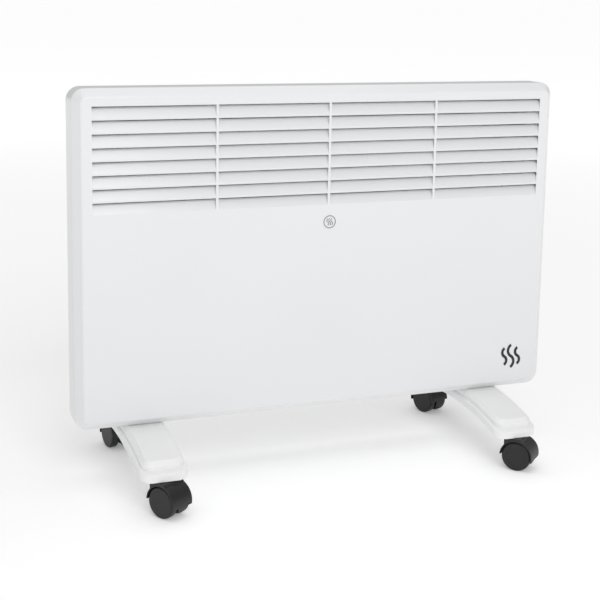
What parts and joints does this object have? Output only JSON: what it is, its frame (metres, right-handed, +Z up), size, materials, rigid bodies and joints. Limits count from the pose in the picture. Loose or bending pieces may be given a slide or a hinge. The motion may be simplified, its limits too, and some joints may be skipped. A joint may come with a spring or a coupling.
{
  "type": "portable convector heater",
  "caption": "Flat louvred steel panel heater on two moulded feet with twin-wheel swivel castors, side thermostat and rocker switches.",
  "frame": {"origin": "on the floor, at the middle of the part's box, under the centre of the four castors", "axes": "+X to the right as seen from the front, -Y out of the louvred front face, +Z up"},
  "size_m": [0.619, 0.2845, 0.477],
  "materials": {
    "cover_paint": "gloss white powder coat",
    "tray_paint": "satin white powder coat",
    "foot_plastic": "fine moulded texture",
    "castor_nylon": "moulded black nylon",
    "socket_plastic": "moulded natural plastic",
    "bright_steel": "turned",
    "zinc_steel": "bright zinc plate",
    "shield_sheet": "bright rolled sheet",
    "fin_aluminium": "extruded",
    "sheath_steel": "heat-darkened sheath",
    "ceramic": "unglazed ceramic",
    "phenolic": "moulded phenolic",
    "panel_plastic": "fine moulded texture",
    "knob_plastic": "satin moulded plastic",
    "rocker_plastic": "polished moulded plastic",
    "lamp_lens": "clear tinted",
    "gland_nylon": "moulded nylon",
    "block_plastic": "moulded natural nylon",
    "wire_insulation": "silicone sleeve"
  },
  "bodies": {
    "heater": {"bracket_screws": "zinc_steel", "cable_gland": "gland_nylon", "castor_socket_front_left": "socket_plastic", "castor_socket_front_right": "socket_plastic", "castor_socket_rear_left": "socket_plastic", "castor_socket_rear_right": "socket_plastic", "control_panel": "panel_plastic", "control_screws": "zinc_steel", "cover_screws": "zinc_steel", "element_bracket_left": "zinc_steel", "element_bracket_right": "zinc_steel", "element_bush_left": "ceramic", "element_bush_right": "ceramic", "element_fins": "fin_aluminium", "element_rod": "sheath_steel", "foot_left": "foot_plastic", "foot_right": "foot_plastic", "foot_screws": "zinc_steel", "front_cover": "cover_paint", "gland_nut": "gland_nylon", "heat_shield": "shield_sheet", "internal_wires": "wire_insulation", "power_lamp": "lamp_lens", "rear_tray": "tray_paint", "switch_body": "phenolic", "terminal_block": "block_plastic", "thermal_cutout": "phenolic", "thermostat_body": "phenolic", "tip_switch_body": "phenolic", "tip_switch_pin": "bright_steel"},
    "knob": {"thermostat_knob": "knob_plastic", "thermostat_shaft": "bright_steel"},
    "rocker_low": {"rocker_low": "rocker_plastic"},
    "rocker_high": {"rocker_high": "rocker_plastic"},
    "pendulum": {"tip_pendulum": "phenolic"},
    "castor_front_left": {"castor_hood_front_left": "castor_nylon", "castor_stem_front_left": "bright_steel", "castor_axle_front_left": "bright_steel"},
    "castor_front_left_wheel_a": {"castor_wheel_front_left_a": "castor_nylon"},
    "castor_front_left_wheel_b": {"castor_wheel_front_left_b": "castor_nylon"},
    "castor_front_right": {"castor_hood_front_right": "castor_nylon", "castor_stem_front_right": "bright_steel", "castor_axle_front_right": "bright_steel"},
    "castor_front_right_wheel_a": {"castor_wheel_front_right_a": "castor_nylon"},
    "castor_front_right_wheel_b": {"castor_wheel_front_right_b": "castor_nylon"},
    "castor_rear_left": {"castor_hood_rear_left": "castor_nylon", "castor_stem_rear_left": "bright_steel", "castor_axle_rear_left": "bright_steel"},
    "castor_rear_left_wheel_a": {"castor_wheel_rear_left_a": "castor_nylon"},
    "castor_rear_left_wheel_b": {"castor_wheel_rear_left_b": "castor_nylon"},
    "castor_rear_right": {"castor_hood_rear_right": "castor_nylon", "castor_stem_rear_right": "bright_steel", "castor_axle_rear_right": "bright_steel"},
    "castor_rear_right_wheel_a": {"castor_wheel_rear_right_a": "castor_nylon"},
    "castor_rear_right_wheel_b": {"castor_wheel_rear_right_b": "castor_nylon"}
  },
  "joints": [
    {"name": "knob_turn", "type": "hinge", "parent": "heater", "child": "knob", "pos_m": [0.29905, 0.023, 0.418], "axis": [-1, 0, 0], "range_deg": [0, 270]},
    {"name": "rocker_low_press", "type": "hinge", "parent": "heater", "child": "rocker_low", "pos_m": [0.29485, 0.023, 0.351], "axis": [0, -1, 0], "range_deg": [0, 18]},
    {"name": "rocker_high_press", "type": "hinge", "parent": "heater", "child": "rocker_high", "pos_m": [0.29485, 0.023, 0.375], "axis": [0, -1, 0], "range_deg": [0, 18]},
    {"name": "pendulum_swing", "type": "hinge", "parent": "heater", "child": "pendulum", "pos_m": [-0.262, 0.02, 0.129], "axis": [1, 0, 0], "range_deg": [-22, 22]},
    {"name": "castor_front_left_swivel", "type": "hinge", "parent": "heater", "child": "castor_front_left", "pos_m": [-0.226, -0.108, 0.05], "axis": [0, 0, 1], "continuous": true},
    {"name": "castor_front_left_roll_a", "type": "hinge", "parent": "castor_front_left", "child": "castor_front_left_wheel_a", "pos_m": [-0.2207, -0.11648, 0.0185], "axis": [0.848, 0.5299, 0], "continuous": true},
    {"name": "castor_front_left_roll_b", "type": "hinge", "parent": "castor_front_left", "child": "castor_front_left_wheel_b", "pos_m": [-0.2207, -0.11648, 0.0185], "axis": [0.848, 0.5299, 0], "continuous": true},
    {"name": "castor_front_right_swivel", "type": "hinge", "parent": "heater", "child": "castor_front_right", "pos_m": [0.226, -0.108, 0.05], "axis": [0, 0, 1], "continuous": true},
    {"name": "castor_front_right_roll_a", "type": "hinge", "parent": "castor_front_right", "child": "castor_front_right_wheel_a", "pos_m": [0.23269, -0.11543, 0.0185], "axis": [0.7431, 0.6691, 0], "continuous": true},
    {"name": "castor_front_right_roll_b", "type": "hinge", "parent": "castor_front_right", "child": "castor_front_right_wheel_b", "pos_m": [0.23269, -0.11543, 0.0185], "axis": [0.7431, 0.6691, 0], "continuous": true},
    {"name": "castor_rear_left_swivel", "type": "hinge", "parent": "heater", "child": "castor_rear_left", "pos_m": [-0.226, 0.108, 0.05], "axis": [0, 0, 1], "continuous": true},
    {"name": "castor_rear_left_roll_a", "type": "hinge", "parent": "castor_rear_left", "child": "castor_rear_left_wheel_a", "pos_m": [-0.22791, 0.11782, 0.0185], "axis": [-0.9816, -0.1908, 0], "continuous": true},
    {"name": "castor_rear_left_roll_b", "type": "hinge", "parent": "castor_rear_left", "child": "castor_rear_left_wheel_b", "pos_m": [-0.22791, 0.11782, 0.0185], "axis": [-0.9816, -0.1908, 0], "continuous": true},
    {"name": "castor_rear_right_swivel", "type": "hinge", "parent": "heater", "child": "castor_rear_right", "pos_m": [0.226, 0.108, 0.05], "axis": [0, 0, 1], "continuous": true},
    {"name": "castor_rear_right_roll_a", "type": "hinge", "parent": "castor_rear_right", "child": "castor_rear_right_wheel_a", "pos_m": [0.22291, 0.11751, 0.0185], "axis": [-0.9511, -0.309, 0], "continuous": true},
    {"name": "castor_rear_right_roll_b", "type": "hinge", "parent": "castor_rear_right", "child": "castor_rear_right_wheel_b", "pos_m": [0.22291, 0.11751, 0.0185], "axis": [-0.9511, -0.309, 0], "continuous": true}
  ]
}
